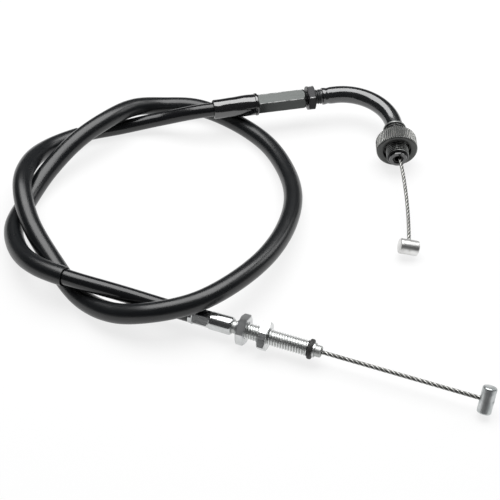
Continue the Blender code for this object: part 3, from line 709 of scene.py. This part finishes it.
# Lock ring: turned steel ring with a straight knurl round it and a recess in its
# face, run up the bush's thread to lock it against the housing.
ring_back = 0.0042
ring_seat = line_frame(mouth - grip_dir * ring_back, grip_dir)
ring_r = 0.0085
ring_width = 0.0068
knurls = 60
knurl_depth = 0.00030
ring_profile = [(0.0049, -ring_width), (0.0078, -ring_width), (0.0083, -ring_width + 0.0002)]
ring_profile += [(ring_r, -ring_width + 0.00055)]
ring_profile += rows(ring_r, -ring_width + 0.0008, -0.0010, 0.0008)
ring_profile += [
    (0.00845, -0.00075), (0.00830, -0.00045), (0.00805, -0.00018), (0.00770, -0.00002),
    (0.0072, 0.0), (0.0059, 0.0), (0.0057, -0.0002), (0.0057, -0.0024), (0.0055, -0.0026),
    (0.0050, -0.0026), (0.0049, -0.0027),
]
ring_bm = turned(ring_profile, knurls * 6)
for vert in ring_bm.verts:
    radius = vert.co.xy.length
    if radius > 0.00815 and vert.co.z < -0.00030:
        across = (math.atan2(vert.co.y, vert.co.x) * knurls / (2.0 * math.pi)) % 1.0
        tooth = min(abs(across - 0.5) * 2.0 / 0.72, 1.0)
        fade = min(1.0, (-0.00030 - vert.co.z) / 0.0006, (vert.co.z + ring_width) / 0.0006)
        vert.co.xy *= 1.0 - knurl_depth * 1.25 * tooth * max(fade, 0.0) / radius
ring_steel = phosphated(
    "ring_steel", ring_seat, (0.064, 0.066, 0.064), (0.14, 0.14, 0.135), 0.28,
    0.00836, 0.00849, (0.62, 0.62, 0.60),
)
fit("ring", ring_bm, ring_seat, ring_steel, "ring", "knurled_ring", 50.0)

# Grip end of the wire: six strands laid round a core, drawn steel. Every other strand is
# painted dark and the hollows between strands are painted near black, as painted light and
# shade on the twist. It leans on one side of the elbow's mouth.
wire_r = 0.00075
strand_r = 0.00025
strand_lay = 0.0056
strokes_in = 0.0220


def stranded(line, start, end):
    """Lay six round strands about a straight core along a line."""
    bm = bmesh.new()
    lay_r = wire_r - strand_r
    count = int((end - start) / 0.0005)
    spots = [start + (end - start) * i / count for i in range(count + 1)]
    paths = [[line.at(spot).translation for spot in spots]]
    for strand in range(6):
        turn_first = strand * math.pi / 3.0
        path = []
        for spot in spots:
            angle = turn_first + 2.0 * math.pi * spot / strand_lay
            path.append(line.at(spot) @ Vector((lay_r * math.cos(angle), lay_r * math.sin(angle), 0.0)))
        paths.append(path)
    from_middle = bm.verts.layers.float.new("from_middle")
    painted_dark_strand = bm.verts.layers.float.new("painted_dark_strand")
    for number, path in enumerate(paths):
        laid = len(bm.verts)
        strand_line = Line(path)
        sweep(bm, strand_line, [(strand_r, run) for run in strand_line.runs], 8)
        bm.verts.ensure_lookup_table()
        for vert in bm.verts[laid:]:
            vert[painted_dark_strand] = number % 2
    for vert in bm.verts:
        vert[from_middle] = min((vert.co - spot).length for spot in paths[0])
    return bm


wire_steel = Finish("wire_steel", metallic=1.0)
fine_at = wire_steel.vector(
    wire_steel.attribute("side_x") * 2.0, wire_steel.attribute("side_y") * 2.0,
    wire_steel.attribute("along") * 900.0,
)
fine_wires = wire_steel.speckle(1.0, 2.0, fine_at)
oil = wire_steel.speckle(300.0, 2.0)
drawn = wire_steel.tint(wire_steel.spread(oil, 0.4, 0.65), (0.66, 0.66, 0.64), (0.44, 0.44, 0.42))
# Painted light and shade: every other strand is painted dark, so the twist reads as light and dark
# stripes.
drawn = wire_steel.tint(wire_steel.attribute("painted_dark_strand"), drawn, (0.12, 0.12, 0.115))
# Painted shade: the hollows between the strands, close to the core, are painted near black.
groove = wire_steel.spread(wire_steel.attribute("from_middle"), 0.00056, 0.00070)
wire_steel.feed(
    base_color=wire_steel.tint(groove, (0.016, 0.016, 0.014), drawn),
    roughness=0.26 + fine_wires * 0.20,
)
wire_steel.bump(fine_wires * 0.00002)

grip_nipple_at = (grip_nipple_middle - mouth).length
lean = Vector((1.0, 0.0, 0.0))
lean = (lean - grip_dir * lean.dot(grip_dir)).normalized()
lean_in_mouth = 0.00064
bow_outside = 0.00120
grip_points = []
for i in range(61):
    reach = -strokes_in + (grip_nipple_at + 0.0024 + strokes_in) * i / 60.0
    share = min(max(reach, 0.0) / grip_nipple_at, 1.0)
    bow = lean_in_mouth * (1.0 - share) + bow_outside * math.sin(math.pi * share) ** 0.7
    grip_points.append(mouth + grip_dir * reach + lean * bow)
grip_line = Line(grip_points)
fit(
    "grip_strands", stranded(grip_line, 0.0, grip_line.length), Matrix.Identity(4), wire_steel,
    "grip_end", "grip_wire", 60.0,
)


# Barrel nipples: cast zinc drums soldered on the wire's two ends, across it. The
# solder stands a little proud where the wire goes in and comes out.
def drum(radius, length, across):
    """Nipple lying across the wire, with its solder on both sides."""
    edge = 0.00035
    half = length / 2.0
    profile = [(0.0, -half), (radius - edge, -half), (radius, edge - half)]
    profile += rows(radius, 0.0007 - half, half - 0.0007, 0.0008)
    profile += [(radius, half - edge), (radius - edge, half), (0.0, half)]
    bm = turned(profile, 64)
    soften(bm, 0.00012, 3, 30.0)
    bmesh.ops.transform(bm, matrix=across, verts=bm.verts)
    for side in (-1.0, 1.0):
        seam = turned(
            [(0.0, 0.0), (0.0, 0.00030), (0.0005, 0.00026), (0.0009, 0.00014), (0.0012, 0.0)], 32
        )
        bmesh.ops.transform(
            seam,
            matrix=Matrix.Translation((0.0, 0.0, side * (radius - 0.00020)))
            @ Matrix.Rotation(0.0 if side > 0.0 else math.pi, 4, "X"),
            verts=seam.verts,
        )
        loose = bpy.data.meshes.new("solder")
        seam.to_mesh(loose)
        seam.free()
        bm.from_mesh(loose)
        bpy.data.meshes.remove(loose)
    return bm


def bright_zinc(name, seat, colour, dull, smooth, root_r=0.0, crest_r=0.0001, thread_from=1.0):
    """Bright zinc plate on turned steel: tool rings, cloudy patches, and thread roots that are rougher
    and painted darker as shade.
    """
    zinc = Finish(name, seat=seat, metallic=1.0)
    out = (zinc.x * zinc.x + zinc.y * zinc.y) ** 0.5
    rings = zinc.speckle(1.0, 2.0, zinc.vector(out * 3600.0, zinc.z * 3600.0, 0.0))
    cloud = zinc.speckle(240.0, 4.0)
    pits = zinc.spread(zinc.speckle(2600.0, 1.0), 0.30, 0.22)
    plate = zinc.tint(zinc.spread(cloud, 0.42, 0.68), colour, dull)
    on_thread = zinc.spread(zinc.z, thread_from - 0.0005, thread_from)
    plate = zinc.tint(on_thread, plate, (0.86, 0.87, 0.87))
    # Painted shade: between root and crest radius the thread roots are painted darker than the plate,
    # and made rougher.
    crest = zinc.spread(out, root_r, crest_r)
    zinc.feed(
        base_color=zinc.tint(crest, (0.48, 0.49, 0.48), plate),
        roughness=smooth + cloud * 0.12 + rings * 0.05 + pits * 0.2 + (1.0 - crest) * 0.30,
    )
    zinc.bump(rings * 0.000006 + cloud * 0.000012 - pits * 0.00001)
    return zinc


grip_nipple_seat = line_frame(grip_nipple_middle, grip_dir)
grip_across = Matrix.Rotation(math.radians(-14.0), 4, "Z") @ Matrix.Rotation(math.radians(90.0), 4, "X")
grip_zinc = bright_zinc(
    "grip_nipple_zinc", grip_nipple_seat, (0.82, 0.82, 0.81), (0.60, 0.60, 0.59), 0.30
)
fit(
    "grip_drum", drum(0.0030, 0.0075, grip_across), grip_nipple_seat, grip_zinc,
    "grip_end", "grip_nipple", 35.0,
)

# Threaded adjuster: one turned steel piece, zinc plated. Its socket is crimped to six
# flats on the bared winding, and the carburettor's bracket is clamped on its thread.
crimp_turn = math.radians(32.0)
carb_seat = line_frame(adjuster_start, carb_dir, crimp_turn)
socket_r = 0.00335
socket_bore = 0.00265
crimp_flats = 0.0058
crimp_start = 0.0018
crimp_end = 0.0080
tube_r = 0.0030
tube_root = 0.0025
thread_start = 0.0184
thread_end = 0.0450
adjuster_profile = [(socket_bore, 0.0), (0.0029, 0.0), (0.0031, 0.0002), (0.0031, 0.0014)]
adjuster_profile += [(socket_r, 0.00155)] + rows(socket_r, crimp_start, crimp_end, 0.0006)
adjuster_profile += [(socket_r, 0.0084)] + rows(socket_r, 0.0090, 0.0156, 0.0012)
adjuster_profile += [
    (0.00333, 0.01595), (0.00322, 0.01630), (0.00300, 0.01658), (0.00270, 0.01675),
    (0.00235, 0.01680), (0.00235, 0.0181),
]
adjuster_profile += rows(tube_r, thread_start, thread_end, 0.0000833)
adjuster_profile += [
    (0.00245, 0.0452), (0.00245, 0.0470), (0.0026, 0.0470), (0.00265, 0.04705),
    (0.00265, 0.04765), (0.0026, 0.0477), (0.0021, 0.0477), (0.0021, 0.0497),
    (0.0018, 0.0500), (0.00135, 0.0500), (0.00125, 0.0499), (0.00125, 0.0134),
    (socket_bore, 0.0134),
]
adjuster_bm = turned(adjuster_profile, 48)
press_hex(adjuster_bm, crimp_flats, crimp_start, crimp_end, 0.0030)
cut_thread(adjuster_bm, thread_start, thread_end, tube_r, tube_root, thread_pitch)
adjuster_zinc = bright_zinc(
    "adjuster_zinc", carb_seat, (0.64, 0.65, 0.65), (0.46, 0.47, 0.47), 0.12,
    tube_root, tube_r - 0.00005, thread_start - 0.0003,
)
fit(
    "adjuster", adjuster_bm, carb_seat, adjuster_zinc,
    "cable", "threaded_adjuster", 28.0,
)

# Bracket nuts: two thin hexagon nuts, zinc plated, that clamp the carburettor's
# bracket between them.
for name, node_name, start, corner_turn, body, smooth in (
    ("nut_inner", "inner_bracket_nut", 0.0192, 64.0, "inner_nut", 0.20),
    ("nut_outer", "outer_bracket_nut", 0.0273, 32.0, "outer_nut", 0.10),
):
    nut_seat = line_frame(adjuster_start + carb_dir * start, carb_dir, math.radians(corner_turn))
    nut_zinc = plated_hex(
        name + "_zinc", nut_seat, (0.52, 0.53, 0.53), (0.80, 0.80, 0.80), smooth, 1.0
    )
    fit(
        name, hexagon_nut(nut_flats, nut_thickness, tube_r + 0.00006), nut_seat, nut_zinc,
        body, node_name, 25.0,
    )

# Rubber washer: a thin ring snapped into the groove before the end flange, which
# seals the bracket's hole.
washer_bore = 0.00256
washer_profile = [
    (washer_bore, 0.04535), (0.0032, 0.04535), (0.0035, 0.04545), (0.00364, 0.0457),
    (0.00366, 0.0461), (0.00364, 0.0465), (0.0035, 0.04675), (0.0032, 0.04685),
    (washer_bore, 0.04685),
]
washer_rubber = Finish("washer_rubber", seat=carb_seat, ior=1.5)
washer_dust = washer_rubber.speckle(900.0, 3.0)
washer_rubber.feed(
    base_color=washer_rubber.tint(washer_dust, (0.012, 0.012, 0.012), (0.035, 0.034, 0.033)),
    roughness=0.42 + washer_dust * 0.3,
)
washer_rubber.bump(washer_dust * 0.00002)
fit(
    "washer", turned(washer_profile, 56), carb_seat, washer_rubber,
    "cable", "rubber_washer",
)

# Carburettor end of the wire: the same strands, straight out of the adjuster's tube,
# with a smaller drum that hooks into the throttle's slide.
carb_nipple_at = (carb_nipple_middle - adjuster_start).length
carb_in = 0.0480
carb_points = [
    adjuster_start + carb_dir * (carb_in + (carb_nipple_at + 0.0020 - carb_in) * i / 40.0)
    for i in range(41)
]
carb_line = Line(carb_points)
fit(
    "carburettor_strands", stranded(carb_line, 0.0, carb_line.length), Matrix.Identity(4), wire_steel,
    "carburettor_end", "carburettor_wire", 60.0,
)
carb_nipple_seat = line_frame(carb_nipple_middle, carb_dir)
carb_across = Matrix.Rotation(math.radians(-32.0), 4, "Z") @ Matrix.Rotation(math.radians(90.0), 4, "Y")
carb_zinc = bright_zinc(
    "carburettor_nipple_zinc", carb_nipple_seat, (0.62, 0.64, 0.64), (0.36, 0.39, 0.39), 0.26
)
fit(
    "carburettor_drum", drum(0.0025, 0.0095, carb_across), carb_nipple_seat, carb_zinc,
    "carburettor_end", "carburettor_nipple", 35.0,
)

# Table: a plain white sheet that the cable lies on. One wide soft light hangs over it
# and a little behind, a weak one fills from the right, and the room is dark.
floor_bm = bmesh.new()
bmesh.ops.create_grid(floor_bm, x_segments=1, y_segments=1, size=12.0)
floor_mesh = bpy.data.meshes.new("table")
floor_bm.to_mesh(floor_mesh)
floor_bm.free()
floor = bpy.data.objects.new("table", floor_mesh)
bpy.context.scene.collection.objects.link(floor)
table_white = Finish(
    "table_white", base_color=(0.90, 0.90, 0.90, 1.0), specular_ior_level=0.0, roughness=0.9
)
rays = table_white.node("ShaderNodeLightPath").outputs
camera_ray, glossy_ray, clear_ray = (
    Value(table_white, rays[name]) for name in ("Is Camera Ray", "Is Glossy Ray", "Is Transmission Ray")
)
seen = camera_ray.maths("MAXIMUM", camera_ray, glossy_ray)
seen = seen.maths("MAXIMUM", seen, clear_ray)
paper = table_white.node("ShaderNodeEmission", {}, {"Color": (1.0, 1.0, 1.0, 1.0), "Strength": 1.0})
blend = table_white.node(
    "ShaderNodeMixShader",
    {},
    {
        0: seen * 0.8, 1: Value(table_white, table_white.shader.outputs[0]),
        2: Value(table_white, paper.outputs[0]),
    },
)
table_out = table_white.tree.nodes["Material Output"]
table_white.set(table_out.inputs["Surface"], Value(table_white, blend.outputs[0]))
floor_mesh.materials.append(table_white.material)

for name, at, wide, deep, power in (
    ("overhead", (0.0, 0.20, 0.60), 0.80, 0.56, 6.6),
    ("fill", (0.62, 0.30, 0.40), 0.30, 0.30, 0.8),
):
    lamp = bpy.data.lights.new(name, "AREA")
    lamp.shape = "RECTANGLE"
    lamp.size = wide
    lamp.size_y = deep
    lamp.energy = power
    lit = bpy.data.objects.new(name, lamp)
    lit.location = at
    lit.rotation_euler = Vector(at).to_track_quat("Z", "Y").to_euler()
    bpy.context.scene.collection.objects.link(lit)

world = bpy.data.worlds.new("room")
world.use_nodes = True
world.node_tree.nodes["Background"].inputs["Color"].default_value = (0.06, 0.06, 0.062, 1.0)
world.node_tree.nodes["Background"].inputs["Strength"].default_value = 1.0
bpy.context.scene.world = world
bpy.context.scene.view_settings.view_transform = "Standard"
